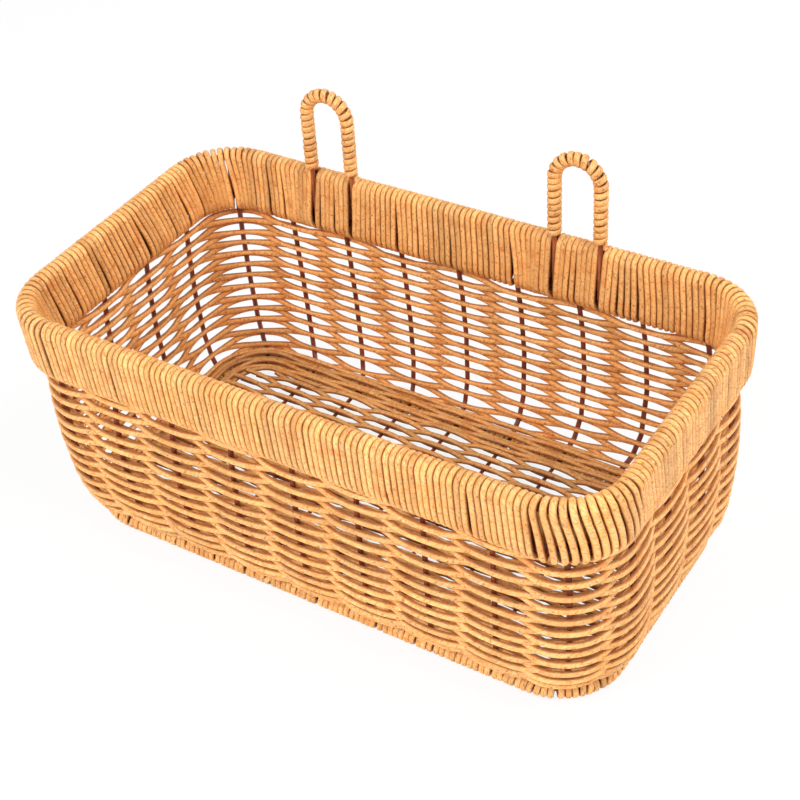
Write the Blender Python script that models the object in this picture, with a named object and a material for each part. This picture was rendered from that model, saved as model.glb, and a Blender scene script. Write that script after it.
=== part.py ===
"""A hanging storage basket: cord woven on a wire frame, with a wound rim and two wire loops.

The frame has two rim wires, a base ring, upright stakes and floor ribs. Cord is wound round
the rim wires, round the base ring and round the loops, and woven round the stakes and ribs.
Metres, +Z up. The origin is under the middle of the basket, on the surface it stands on.
The long sides face -Y (front) and +Y (back), and the loops stand on the back rim.
"""

import math

import bmesh
import bpy
from mathutils import Vector

# Cord and wires, as diameters
CORD = 0.0029
LOOP_CORD = 0.0025
RIM_WIRE = 0.0040
BASE_WIRE = 0.0035
STAKE_WIRE = 0.0028
RIB_WIRE = 0.0022
LOOP_WIRE = 0.0026

# Free space left between pieces that touch
CLEARANCE = 0.0003
CHANNEL_CLEARANCE = 0.0005

# Rim: centre line of the top rim wire
RIM_HALF_LENGTH = 0.1600
RIM_HALF_WIDTH = 0.0845
RIM_CORNER_RADIUS = 0.0300
RIM_HEIGHT = 0.1320
BAND_DEPTH = 0.0235
BAND_FLARE = 0.0010

# Base ring: how far it lies inside the rim's centre line
BASE_INSET = 0.0130
BASE_CORNER_RADIUS = 0.0290
BASE_FLAT = 0.0005

# Wall: inset of the stakes below the rim at named heights, and the open joint under the rim
WALL_SHOULDER_INSET = 0.0022
WALL_BELLY_INSET = 0.0010
WALL_KNEE_INSET = 0.0028
WALL_HEEL_INSET = 0.0068
WALL_SHOULDER_HEIGHT = 0.0850
WALL_BELLY_HEIGHT = 0.0570
WALL_KNEE_HEIGHT = 0.0290
WALL_HEEL_HEIGHT = 0.0160
WALL_JOINT = 0.0015

# Stakes: where the first one passes the top of the back, to the right of its middle
FIRST_STAKE_PLACE = -0.0040

# Floor
FLOOR_THICKNESS = 0.0056
RIB_COUNT = 7

# Loops: each stands over a stake, that many on from the first, and a little to its left
LOOP_STAKE_COUNT = 2
LOOP_SHIFT = 0.0030
LOOP_HALF_WIDTH = 0.0123
LOOP_RISE = 0.0510
LOOP_TURNS = 24

# Counts
STAKE_COUNT = 26
CORNER_STEPS = 5
WIRE_SIDES = 6
ARC_POINTS = 5
WRAP_SIDES = 8
TURN_POINTS = 8
LOOP_ARCH_STEPS = 8

# Weave: places from a stake to the next and the half thickness there, both as shares, and the
# plain grid of openings between the stakes that stands for the gaps between the rows
WEAVE_PLACE_SHARES = (0.0, 0.16, 0.50, 0.84)
WEAVE_THICKNESS_SHARES = (1.0, 0.88, 0.37, 0.88)
OPENING_ROWS = 4
OPENING_HEIGHT = 0.0065

# How far a cutter runs past the skin that it opens
CUT_OVERRUN = 0.0015

# Colours as linear values, with roughness and metallic
CORD_LOOK = ((0.62, 0.36, 0.135), 0.62, 0.0)
WIRE_LOOK = ((0.17, 0.052, 0.020), 0.45, 0.0)


def clear_scene():
    """Removes whatever objects the file starts with."""
    for item in list(bpy.data.objects):
        bpy.data.objects.remove(item, do_unlink=True)


def make_material(name, look):
    """Returns a Principled material from its colour, roughness and metallic value."""
    colour, roughness, metallic = look
    material = bpy.data.materials.new(name)
    material.use_nodes = True
    shader = material.node_tree.nodes["Principled BSDF"]
    shader.inputs["Base Color"].default_value = (*colour, 1.0)
    shader.inputs["Roughness"].default_value = roughness
    shader.inputs["Metallic"].default_value = metallic
    return material


def outline_at(inset, height):
    """Half length, half width and corner radius of the basket's plan, rounder towards the base."""
    top, bottom = lower_wire_height(), base_wire_height()
    share = min(max((top - height) / (top - bottom), 0.0), 1.0)
    extra = BASE_CORNER_RADIUS - (RIM_CORNER_RADIUS - BASE_INSET)
    radius = RIM_CORNER_RADIUS - inset + extra * share
    return RIM_HALF_LENGTH - inset, RIM_HALF_WIDTH - inset, radius


def point_on_outline(inset, height, share):
    """Point and outward normal at a share of the way round, from the middle of the back."""
    half_length, half_width, radius = outline_at(inset, height)
    straight_x = half_length - radius
    straight_y = half_width - radius
    quarter_turn = math.pi / 2
    arc = radius * quarter_turn
    quarter = straight_x + arc + straight_y
    travelled = (share % 1.0) * 4 * quarter
    side = int(travelled // quarter)
    along = travelled - side * quarter
    mirrored = side in (1, 3)
    if mirrored:
        along = quarter - along
    if along < straight_x:
        x, y, nx, ny = along, half_width, 0.0, 1.0
    elif along < straight_x + arc:
        angle = quarter_turn - (along - straight_x) / radius
        nx, ny = math.cos(angle), math.sin(angle)
        x, y = straight_x + radius * nx, straight_y + radius * ny
    else:
        x, y, nx, ny = half_length, straight_y - (along - straight_x - arc), 1.0, 0.0
    sign_x = 1.0 if side < 2 else -1.0
    sign_y = 1.0 if side in (0, 3) else -1.0
    return Vector((x * sign_x, y * sign_y, height)), Vector((nx * sign_x, ny * sign_y, 0.0))


def corner_stations(inset, height):
    """Points and normals at the steps of the four corners, with straight sides between."""
    half_length, half_width, radius = outline_at(inset, height)
    stations = []
    for corner in range(4):
        sign_x = 1.0 if corner in (0, 3) else -1.0
        sign_y = 1.0 if corner in (0, 1) else -1.0
        centre = Vector((sign_x * (half_length - radius), sign_y * (half_width - radius), height))
        for step in range(CORNER_STEPS + 1):
            angle = (corner + step / CORNER_STEPS) * math.pi / 2
            normal = Vector((math.cos(angle), math.sin(angle), 0.0))
            stations.append((centre + normal * radius, normal))
    return stations


def add_object(name, mesh, material):
    """Links a mesh as a named object with its material."""
    item = bpy.data.objects.new(name, mesh)
    mesh.materials.append(material)
    bpy.context.scene.collection.objects.link(item)
    return item


def mesh_from(name, build):
    """Makes a mesh with outward normals from a function that fills a bmesh."""
    shape = bmesh.new()
    build(shape)
    bmesh.ops.recalc_face_normals(shape, faces=shape.faces)
    mesh = bpy.data.meshes.new(name)
    shape.to_mesh(mesh)
    shape.free()
    mesh.shade_smooth()
    mesh.set_sharp_from_angle(angle=math.radians(50))
    return mesh


def bridge_rings(shape, rings, closed_round):
    """Joins rings of vertices, each a closed loop, with quads."""
    count = len(rings)
    last = count if closed_round else count - 1
    for index in range(last):
        here = rings[index]
        after = rings[(index + 1) % count]
        for corner in range(len(here)):
            following = (corner + 1) % len(here)
            shape.faces.new((here[corner], here[following], after[following], after[corner]))


def swept_ring(name, section, inset, height):
    """A closed ring: a section of (outward, up) points swept round the outline at an inset."""
    def build(shape):
        rings = []
        for place, normal in corner_stations(inset, height):
            ring = [shape.verts.new(place + normal * out + Vector((0, 0, up))) for out, up in section]
            rings.append(ring)
        bridge_rings(shape, rings, True)
    return mesh_from(name, build)


def hollow_ring(name, outer, inner, inset, height):
    """A closed ring with a hollow running all the way round inside it."""
    mesh = swept_ring(name, outer, inset, height)
    hollow = swept_ring(name + "_hollow", inner, inset, height)
    hollow.flip_normals()
    shape = bmesh.new()
    shape.from_mesh(mesh)
    shape.from_mesh(hollow)
    shape.to_mesh(mesh)
    shape.free()
    bpy.data.meshes.remove(hollow)
    return mesh


def circle_section(radius, sides):
    """Points of a round section, as (outward, up)."""
    points = []
    for index in range(sides):
        angle = 2 * math.pi * (index + 0.5) / sides
        points.append((radius * math.cos(angle), radius * math.sin(angle)))
    return points


def tube_mesh(name, points, radius, sides, first_axis):
    """A capped tube along points, with a given direction for its first side."""
    def build(shape):
        rings = []
        for index, point in enumerate(points):
            before = points[max(index - 1, 0)]
            after = points[min(index + 1, len(points) - 1)]
            ahead = (after - before).normalized()
            across = (first_axis - ahead * first_axis.dot(ahead)).normalized()
            upward = ahead.cross(across)
            ring = []
            for side in range(sides):
                angle = 2 * math.pi * (side + 0.5) / sides
                offset = across * math.cos(angle) + upward * math.sin(angle)
                ring.append(shape.verts.new(point + offset * radius))
            rings.append(ring)
        bridge_rings(shape, rings, False)
        shape.faces.new(rings[0])
        shape.faces.new(list(reversed(rings[-1])))
    return mesh_from(name, build)


def cut_with(item, cutter_meshes):
    """Cuts closed shapes, joined as one cutter, out of an object."""
    shape = bmesh.new()
    for mesh in cutter_meshes:
        shape.from_mesh(mesh)
    joined = bpy.data.meshes.new(item.name + "_cutter")
    shape.to_mesh(joined)
    shape.free()
    cutter = bpy.data.objects.new(item.name + "_cutter", joined)
    bpy.context.scene.collection.objects.link(cutter)
    cutter.hide_render = True
    cutter.display_type = "WIRE"
    modifier = item.modifiers.new("openings", "BOOLEAN")
    modifier.operation = "DIFFERENCE"
    modifier.solver = "EXACT"
    modifier.object = cutter


def lower_wire_height():
    """Height of the lower rim wire's centre."""
    return RIM_HEIGHT - BAND_DEPTH


def stake_inset_in_band():
    """Inset of the stakes where they pass the lower rim wire on its inner side."""
    return BAND_FLARE + RIM_WIRE / 2 + STAKE_WIRE / 2 + 2 * CLEARANCE


def base_wire_height():
    """Height of the base ring's centre, with its winding cut flat on the ground."""
    return BASE_WIRE / 2 + CHANNEL_CLEARANCE + CORD - BASE_FLAT


def band_lower_edge():
    """Height of the wound band's lower edge."""
    return lower_wire_height() - band_radii()[1] - CORD


def band_radii():
    """Radius of the band's hollow at the top wire and at the lower wire with its stakes."""
    top = RIM_WIRE / 2 + CHANNEL_CLEARANCE
    lower = (RIM_WIRE + STAKE_WIRE) / 2 + CLEARANCE + CHANNEL_CLEARANCE
    return top, lower


def band_section(skin):
    """Section of the band: two round ends joined by straight sides, out by the skin."""
    top, lower = band_radii()
    lower_centre = -(BAND_FLARE + STAKE_WIRE / 2 + CLEARANCE)
    points = []
    for index in range(ARC_POINTS):
        angle = math.pi * index / (ARC_POINTS - 1)
        reach = top + skin
        points.append((reach * math.cos(angle), reach * math.sin(angle)))
    for index in range(ARC_POINTS):
        angle = math.pi * (1 + index / (ARC_POINTS - 1))
        reach = lower + skin
        points.append((lower_centre + reach * math.cos(angle), reach * math.sin(angle) - BAND_DEPTH))
    return points


def stake_levels():
    """(inset, height) of a stake's points, from the base ring up to the top rim wire."""
    foot = base_wire_height() + BASE_WIRE / 2 + STAKE_WIRE / 2
    head = RIM_HEIGHT - RIM_WIRE / 2 - 2 * CLEARANCE
    return [
        (BASE_INSET, foot),
        (WALL_HEEL_INSET, WALL_HEEL_HEIGHT),
        (WALL_KNEE_INSET, WALL_KNEE_HEIGHT),
        (WALL_BELLY_INSET, WALL_BELLY_HEIGHT),
        (WALL_SHOULDER_INSET, WALL_SHOULDER_HEIGHT),
        (stake_inset_in_band(), lower_wire_height()),
        (BAND_FLARE, head),
    ]


def level_at(height):
    """(inset, height) on the stakes' line at a height between its ends."""
    levels = stake_levels()
    for (low_inset, low), (high_inset, high) in zip(levels, levels[1:]):
        if low <= height <= high:
            part = (height - low) / (high - low)
            return low_inset + (high_inset - low_inset) * part, height
    return levels[0] if height < levels[0][1] else levels[-1]


def stake_share(index):
    """A stake's share of the way round, where a fraction is a place between two stakes."""
    half_length, half_width, radius = outline_at(0.0, RIM_HEIGHT)
    round_the_rim = 4 * (half_length + half_width) - (8 - 2 * math.pi) * radius
    return FIRST_STAKE_PLACE / round_the_rim + index / STAKE_COUNT


def stake_path(index):
    """Points of one stake, from its foot to its head, and its outward direction."""
    share = stake_share(index)
    points = []
    for inset, height in stake_levels():
        place, outward = point_on_outline(inset, height, share)
        points.append(place)
    return points, outward


def add_stakes(wire):
    """Upright wires round the wall, numbered from the middle of the back."""
    for index in range(STAKE_COUNT):
        points, outward = stake_path(index)
        name = f"stake_{index + 1:02d}"
        add_object(name, tube_mesh(name, points, STAKE_WIRE / 2, WIRE_SIDES, outward), wire)


def stake_channels(start, end):
    """Cutters for the stakes' channels, between two heights."""
    meshes = []
    for index in range(STAKE_COUNT):
        share = stake_share(index)
        inner = [level for level in stake_levels() if start < level[1] < end]
        levels = [level_at(start)] + inner + [level_at(end)]
        points = []
        for inset, height in levels:
            place, outward = point_on_outline(inset, height, share)
            points.append(place)
        foot = points[0] - (points[1] - points[0]).normalized() * CUT_OVERRUN
        head = points[-1] + (points[-1] - points[-2]).normalized() * CUT_OVERRUN
        radius = STAKE_WIRE / 2 + CHANNEL_CLEARANCE
        line = [foot] + points[1:-1] + [head]
        meshes.append(tube_mesh("channel", line, radius, WIRE_SIDES, outward))
    return meshes


def wall_span():
    """Lowest and highest point of the woven wall."""
    base_top = base_wire_height() + BASE_WIRE / 2 + CHANNEL_CLEARANCE + CORD
    return base_top + CLEARANCE, band_lower_edge() - WALL_JOINT


def wall_levels():
    """(inset, height) of the wall's edges and of its openings' edges, from the bottom up."""
    bottom, top = wall_span()
    spacing = (top - bottom) / OPENING_ROWS
    levels = [level_at(bottom)]
    for row in range(OPENING_ROWS):
        middle = bottom + spacing * (row + 1 / 2)
        levels.append(level_at(middle - OPENING_HEIGHT / 2))
        levels.append(level_at(middle + OPENING_HEIGHT / 2))
    levels.append(level_at(top))
    return levels


def weave_columns(shape):
    """Columns of outer and inner points of the wall, several to a stake."""
    half = STAKE_WIRE / 2 + CORD
    columns = []
    for stake in range(STAKE_COUNT):
        for part, thickness in zip(WEAVE_PLACE_SHARES, WEAVE_THICKNESS_SHARES):
            share = stake_share(stake + part)
            outer, inner = [], []
            for inset, height in wall_levels():
                place, normal = point_on_outline(inset, height, share)
                outer.append(shape.verts.new(place + normal * half * thickness))
                inner.append(shape.verts.new(place - normal * half * thickness))
            columns.append((outer, inner))
    return columns


def is_open_cell(column, level):
    """Whether the wall is open between a column and the next and a level and the next."""
    between_stakes = column % len(WEAVE_PLACE_SHARES) in (1, 2)
    in_a_row = level % 2 == 1 and level < 2 * OPENING_ROWS
    above_or_below = level < 0 or level > 2 * OPENING_ROWS
    return above_or_below or (between_stakes and in_a_row)


def add_wall_weave(cord):
    """The woven wall: a shell that swells at each stake, with openings between the stakes."""
    def build(shape):
        columns = weave_columns(shape)
        for index, (outer, inner) in enumerate(columns):
            next_outer, next_inner = columns[(index + 1) % len(columns)]
            for level in range(len(outer)):
                here = is_open_cell(index, level)
                if here != is_open_cell(index, level - 1):
                    shape.faces.new((outer[level], next_outer[level], next_inner[level], inner[level]))
                if level + 1 == len(outer):
                    continue
                if here != is_open_cell(index - 1, level):
                    shape.faces.new((outer[level], outer[level + 1], inner[level + 1], inner[level]))
                if not here:
                    for low, high in ((outer, next_outer), (inner, next_inner)):
                        shape.faces.new((low[level], high[level], high[level + 1], low[level + 1]))

    wall = add_object("wall_weave", mesh_from("wall_weave", build), cord)
    bottom, top = wall_span()
    cut_with(wall, stake_channels(bottom, top))


def loop_centres():
    """Place of each loop's middle along the back, the left one first."""
    centres = []
    for index in (-LOOP_STAKE_COUNT, LOOP_STAKE_COUNT):
        place, _ = point_on_outline(0.0, RIM_HEIGHT, stake_share(index))
        centres.append(place.x - LOOP_SHIFT)
    return centres


def loop_frame(middle):
    """Foot of a loop's middle line at the lower rim wire, and its sideways and upward axes."""
    reach = BAND_FLARE + RIM_WIRE / 2 + LOOP_WIRE / 2 + CLEARANCE
    foot = Vector((middle, RIM_HALF_WIDTH - reach, lower_wire_height()))
    upward = Vector((0, BAND_FLARE, BAND_DEPTH)).normalized()
    return foot, Vector((1, 0, 0)), upward


def loop_path(middle, lowest, arch_steps):
    """Points of a loop from one leg over the arch to the other, from a height on the legs."""
    foot, sideways, upward = loop_frame(middle)
    spring = BAND_DEPTH + LOOP_RISE - LOOP_HALF_WIDTH
    points = [foot - sideways * LOOP_HALF_WIDTH + upward * lowest]
    for step in range(arch_steps + 1):
        angle = math.pi * (1 - step / arch_steps)
        points.append(foot + sideways * LOOP_HALF_WIDTH * math.cos(angle)
                      + upward * (spring + LOOP_HALF_WIDTH * math.sin(angle)))
    points.append(foot + sideways * LOOP_HALF_WIDTH + upward * lowest)
    return points


def winding_points(middle):
    """Points of the cord wound up one leg, over the arch and down the other."""
    foot, sideways, upward = loop_frame(middle)
    through = upward.cross(sideways)
    radius = LOOP_WIRE / 2 + LOOP_CORD / 2 + CHANNEL_CLEARANCE
    crest = BAND_DEPTH + band_radii()[0] + CORD + CLEARANCE
    start = crest + LOOP_CORD * 1.5
    spring = BAND_DEPTH + LOOP_RISE - LOOP_HALF_WIDTH
    leg = spring - start
    arch = math.pi * LOOP_HALF_WIDTH
    whole = 2 * leg + arch

    def centre_at(distance):
        """Middle of the wire and its direction away from the loop's own middle line."""
        if distance < leg:
            side = -sideways
            return foot + side * LOOP_HALF_WIDTH + upward * (start + distance), side
        if distance > leg + arch:
            side = sideways
            return foot + side * LOOP_HALF_WIDTH + upward * (start + whole - distance), side
        angle = math.pi * (1 - (distance - leg) / arch)
        side = sideways * math.cos(angle) + upward * math.sin(angle)
        return foot + upward * spring + side * LOOP_HALF_WIDTH, side

    points = []
    steps = LOOP_TURNS * TURN_POINTS
    for step in range(steps + 1):
        centre, side = centre_at(whole * step / steps)
        angle = 2 * math.pi * step / TURN_POINTS
        points.append(centre + (side * math.cos(angle) + through * math.sin(angle)) * radius)
    tail = upward * LOOP_CORD
    return [points[0] - tail] + points + [points[-1] - tail]


def least_gap(points, diameter, neighbours):
    """Least free space between a wound cord and its own other turns, in metres."""
    least = None
    for index, point in enumerate(points):
        for other in points[index + neighbours:]:
            distance = (other - point).length - diameter
            if least is None or distance < least:
                least = distance
    return least


def add_loops(wire, cord):
    """The two hanging loops on the back rim: a bent wire and the cord wound on it."""
    for side, middle in zip(("left", "right"), loop_centres()):
        name = f"{side}_hanging_loop_wire"
        path = loop_path(middle, 0.0, LOOP_ARCH_STEPS)
        add_object(name, tube_mesh(name, path, LOOP_WIRE / 2, WIRE_SIDES, Vector((0, 1, 0))), wire)
        name = f"{side}_hanging_loop_winding"
        points = winding_points(middle)
        curve = bpy.data.curves.new(name, "CURVE")
        curve.dimensions = "3D"
        curve.bevel_depth = LOOP_CORD / 2
        curve.bevel_resolution = 1
        curve.use_fill_caps = True
        curve.materials.append(cord)
        spline = curve.splines.new("POLY")
        spline.points.add(len(points) - 1)
        for vertex, point in zip(spline.points, points):
            vertex.co = (*point, 1.0)
        bpy.context.scene.collection.objects.link(bpy.data.objects.new(name, curve))
        gap = least_gap(points, LOOP_CORD, TURN_POINTS // 2)
        print(f"{name}: least gap to itself {gap * 1000:.2f} mm")


def loop_leg_slots():
    """Cutters for the slots that let the loops' legs into the band's inner face."""
    meshes = []
    radius = LOOP_WIRE / 2 + CHANNEL_CLEARANCE
    into_band = Vector((0, 1, 0))
    rise = BAND_DEPTH + band_radii()[0] + CORD + CUT_OVERRUN
    for middle in loop_centres():
        foot, sideways, upward = loop_frame(middle)
        for side in (-1, 1):
            leg = foot + sideways * LOOP_HALF_WIDTH * side
            below = leg - upward * CHANNEL_CLEARANCE
            above = leg + upward * rise
            meshes.append(tube_mesh("slot", [below, above], radius, WIRE_SIDES, into_band))
    return meshes


def add_rim(wire, cord):
    """Top and lower rim wires and the cord band wound round both."""
    section = circle_section(RIM_WIRE / 2, WIRE_SIDES)
    add_object("top_rim_wire", swept_ring("top_rim_wire", section, 0.0, RIM_HEIGHT), wire)
    lower = swept_ring("lower_rim_wire", section, BAND_FLARE, lower_wire_height())
    add_object("lower_rim_wire", lower, wire)
    mesh = hollow_ring("rim_winding", band_section(CORD), band_section(0.0), 0.0, RIM_HEIGHT)
    band = add_object("rim_winding", mesh, cord)
    slots = stake_channels(band_lower_edge(), lower_wire_height())
    cut_with(band, slots + loop_leg_slots())


def base_section(radius):
    """Round section of the base winding, cut flat where it stands."""
    floor = -base_wire_height()
    return [(out, max(up, floor)) for out, up in circle_section(radius, WRAP_SIDES)]


def rib_places():
    """Places of the floor ribs, which carry on the stakes at the middle of the back."""
    first = -(RIB_COUNT // 2)
    places = []
    for index in range(RIB_COUNT):
        foot, _ = point_on_outline(BASE_INSET, base_wire_height(), stake_share(first + index))
        places.append(foot.x)
    return places


def rib_height():
    """Height of the floor ribs, which lie over the base ring."""
    return base_wire_height() + BASE_WIRE / 2 + CLEARANCE + RIB_WIRE / 2


def rib_half_length():
    """Half the length of a floor rib, which ends beside the stakes' feet on the base ring."""
    return RIM_HALF_WIDTH - BASE_INSET - STAKE_WIRE / 2 - 2 * CLEARANCE


def rod_along_width(name, place, reach, radius):
    """A straight rod across the basket, at the height of the floor."""
    ends = [Vector((place, -reach, rib_height())), Vector((place, reach, rib_height()))]
    return tube_mesh(name, ends, radius, WIRE_SIDES, Vector((0, 0, 1)))


def add_base(wire, cord):
    """Base ring wire and the cord wound round it, with slots for the stakes and the ribs."""
    section = circle_section(BASE_WIRE / 2, WIRE_SIDES)
    ring = swept_ring("base_ring_wire", section, BASE_INSET, base_wire_height())
    add_object("base_ring_wire", ring, wire)
    hollow = BASE_WIRE / 2 + CHANNEL_CLEARANCE
    mesh = hollow_ring("base_winding", base_section(hollow + CORD), circle_section(hollow, WRAP_SIDES),
                       BASE_INSET, base_wire_height())
    winding = add_object("base_winding", mesh, cord)
    top = base_wire_height() + hollow + CORD
    slots = stake_channels(stake_levels()[0][1], top)
    radius = RIB_WIRE / 2 + CHANNEL_CLEARANCE
    slots += [rod_along_width("slot", place, rib_half_length(), radius) for place in rib_places()]
    cut_with(winding, slots)


def add_floor(wire, cord):
    """Floor ribs and the woven floor that lies round them, inside the base winding."""
    for index, place in enumerate(rib_places()):
        name = f"floor_rib_{index + 1}"
        add_object(name, rod_along_width(name, place, rib_half_length(), RIB_WIRE / 2), wire)
    edge = -(BASE_WIRE / 2 + CHANNEL_CLEARANCE + CORD + CLEARANCE)
    half = FLOOR_THICKNESS / 2

    def build(shape):
        lower, upper = [], []
        for place, normal in corner_stations(BASE_INSET, rib_height()):
            lower.append(shape.verts.new(place + normal * edge - Vector((0, 0, half))))
            upper.append(shape.verts.new(place + normal * edge + Vector((0, 0, half))))
        bridge_rings(shape, [lower, upper], False)
        shape.faces.new(upper)
        shape.faces.new(list(reversed(lower)))

    floor = add_object("floor_weave", mesh_from("floor_weave", build), cord)
    radius = RIB_WIRE / 2 + CHANNEL_CLEARANCE
    reach = rib_half_length() + CUT_OVERRUN
    cut_with(floor, [rod_along_width("channel", place, reach, radius) for place in rib_places()])


def main():
    """Builds the basket."""
    clear_scene()
    cord = make_material("woven_cord", CORD_LOOK)
    wire = make_material("painted_wire", WIRE_LOOK)
    add_rim(wire, cord)
    add_stakes(wire)
    add_wall_weave(cord)
    add_base(wire, cord)
    add_floor(wire, cord)
    add_loops(wire, cord)


main()
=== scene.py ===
"""The storage basket as it looks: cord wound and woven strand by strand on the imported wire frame.

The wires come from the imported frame. The plain bands and shells of the frame are replaced here
by the real strands: the rim's turns, the wall's rows, the base's turns, the floor's rows and
the loops' turns. Metres, +Z up, the long sides face -Y and +Y. A share of the way round is
counted from the middle of the back, clockwise from above.
"""

import math

import bpy
import numpy as np
from mathutils import Matrix, Vector


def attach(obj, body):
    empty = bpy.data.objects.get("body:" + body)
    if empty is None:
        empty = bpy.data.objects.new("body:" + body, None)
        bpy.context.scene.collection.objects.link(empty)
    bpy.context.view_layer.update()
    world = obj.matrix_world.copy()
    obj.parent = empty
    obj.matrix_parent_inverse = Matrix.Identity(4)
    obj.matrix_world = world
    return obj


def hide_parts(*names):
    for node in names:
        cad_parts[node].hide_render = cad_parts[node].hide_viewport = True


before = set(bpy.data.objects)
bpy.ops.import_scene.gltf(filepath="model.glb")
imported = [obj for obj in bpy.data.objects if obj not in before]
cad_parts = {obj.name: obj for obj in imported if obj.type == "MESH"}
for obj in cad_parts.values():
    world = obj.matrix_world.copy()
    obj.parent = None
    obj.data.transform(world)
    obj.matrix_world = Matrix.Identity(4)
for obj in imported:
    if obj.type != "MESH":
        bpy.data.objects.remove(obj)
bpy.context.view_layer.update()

MM = 0.001

# Rim and base, as in the frame
RIM_HALF_LENGTH = 0.1600
RIM_HALF_WIDTH = 0.0845
RIM_CORNER_RADIUS = 0.0300
RIM_HEIGHT = 0.1320
BAND_DEPTH = 0.0235
BASE_INSET = 0.0130
BASE_CORNER_RADIUS = 0.0290
BASE_HEIGHT = 0.00465
STAKE_COUNT = 26
FIRST_STAKE_PLACE = -0.0040
STAKE_RADIUS = 0.0014
# The stakes have six sides, so that the cord lies a little closer to their centre line
STAKE_FACE = 0.0012
# Inset and height of the stakes' centre line, from the foot up
STAKE_LEVELS = ((0.0130, 0.0078), (0.0068, 0.0160), (0.0028, 0.0290), (0.0010, 0.0570),
                (0.0022, 0.0850), (0.0050, 0.1085), (0.0010, 0.1294))
RIB_GAP = 0.03170
MIDDLE_RIB_PLACE = -0.00356
RIB_HEIGHT = 0.00780

# Loops, as in the frame
LOOP_MIDDLES = (-0.07827, 0.06427)
LOOP_HALF_WIDTH = 0.0123
LOOP_FOOT_Y = 0.0799
LOOP_SPRING = 0.0622
LOOP_CREST = 0.0292
LOOP_BACKWARD_LEAN = 0.04251
LOOP_WINDING_RADIUS = 0.0027

# Cord, as half sizes across and through the strand
RIM_CORD = (0.00152, 0.00138)
WALL_CORD = (0.00155, 0.00117)
BASE_CORD = (0.00160, 0.00138)
FLOOR_CORD = (0.00150, 0.00120)
LOOP_CORD = (0.00170, 0.00095)

# Rim band: the cord's centre line round the two wires, as distances from the top wire
TOP_RADIUS = 0.00400
LOW_RADIUS = 0.00565
LOW_CENTRE_OUT = -0.0027
PACKED_INSET = 0.0045
RIM_TURNS = 286
# Where the turns lie looser and fuller, at the front right corner, as shares
FAN_MIDDLE = 0.333
FAN_REACH = 0.020
FAN_SWELL = 0.17

WALL_ROWS = 25
WALL_LOWEST = 0.0124
WALL_HIGHEST = 0.0985
WALL_POINTS_PER_STAKE = 12
# The wall cord's thickness as shares of its size: where it is pressed on a stake, at the back and
# at the front, and midway between two stakes
PRESSED_BACK = 0.88
PRESSED_FRONT = 1.14
RELAXED = 1.22
# Painted light: how much brighter the cord's colour is made at the back than at the front, in steps of tone
PAINTED_LIGHT_AT_BACK = 0.8

BASE_TURNS = 262
BASE_WINDING_RADIUS = 0.0037

# Rows that carry the wall over the base winding to the floor: inset, height and half wave
COVER_ROWS = ((0.0116, 0.0126, 0.0005), (0.0144, 0.0120, 0.0008), (0.0171, 0.0113, 0.0009),
              (0.0198, 0.0105, 0.0009), (0.0223, 0.0096, 0.0008), (0.0246, 0.0086, 0.0006))
# Insets of the floor's first row and of its rows' ends, and the rows' pitch in front and at the back
FLOOR_EDGE_INSET = 0.0262
FLOOR_END_INSET = 0.0224
FLOOR_PITCH = 0.0027
FLOOR_BACK_PITCH = 0.0034
# Painted shade: the floor's cord is made darker than the wall's, in steps of tone, for the dimmer light low
# inside the basket
FLOOR_PAINTED_SHADE = -1.9
TONE_STEP = 0.10

# First seeds of the random draws; the rows of the wall and floor add their number
STRAND_SEEDS = 997
RIM_JITTER_SEED, RIM_BEND_SEED, RIM_LIFT_SEED, RIM_TONE_SEED = 5, 6, 7, 8
BASE_GAP_SEED, BASE_JITTER_SEED, BASE_REACH_SEED, BASE_SLANT_SEED, BASE_TONE_SEED = 21, 22, 23, 24, 25
LEFT_LOOP_SEED, RIGHT_LOOP_SEED = 41, 51
WALL_SAG_SEED, WALL_DEPTH_SEED, WALL_TONE_SEED = 100, 300, 500
FLOOR_SWAY_SEED, FLOOR_TONE_SEED = 700, 900
COVER_SWAY_SEED, COVER_TONE_SEED = 980, 990


def unit(vectors):
    """The vectors, one a row, at length one."""
    return vectors / np.maximum(np.linalg.norm(vectors, axis=1, keepdims=True), 1e-12)


def outline(inset, radius, share):
    """Points and outward normals round the plan at an inset and corner radius."""
    share = np.asarray(share, float)
    half_length = RIM_HALF_LENGTH - inset
    half_width = RIM_HALF_WIDTH - inset
    straight_x = half_length - radius
    straight_y = half_width - radius
    arc = radius * math.pi / 2
    quarter = straight_x + arc + straight_y
    travelled = (share % 1.0) * 4 * quarter
    side = np.minimum((travelled // quarter).astype(int), 3)
    along = travelled - side * quarter
    along = np.where((side == 1) | (side == 3), quarter - along, along)
    turned = np.clip((along - straight_x) / radius, 0.0, math.pi / 2)
    across, away = np.sin(turned), np.cos(turned)
    x = np.minimum(along, straight_x) + radius * across
    y = straight_y + radius * away - np.maximum(along - straight_x - arc, 0.0)
    sign_x = np.where(side < 2, 1.0, -1.0)
    sign_y = np.where((side == 0) | (side == 3), 1.0, -1.0)
    nothing = np.zeros_like(x)
    points = np.stack([x * sign_x, y * sign_y, nothing], axis=1)
    normals = np.stack([across * sign_x, away * sign_y, nothing], axis=1)
    return points, normals


def outline_length(inset, radius):
    """Length of the plan's outline at an inset."""
    sides = RIM_HALF_LENGTH + RIM_HALF_WIDTH - 2 * inset
    return 4 * sides - (8 - 2 * math.pi) * radius


def corner_radius(inset, height):
    """Corner radius at an inset and height: it grows from the lower rim wire to the base."""
    low_wire = RIM_HEIGHT - BAND_DEPTH
    part = np.clip((low_wire - height) / (low_wire - BASE_HEIGHT), 0.0, 1.0)
    extra = BASE_CORNER_RADIUS - (RIM_CORNER_RADIUS - BASE_INSET)
    return RIM_CORNER_RADIUS - inset + extra * part


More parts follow.
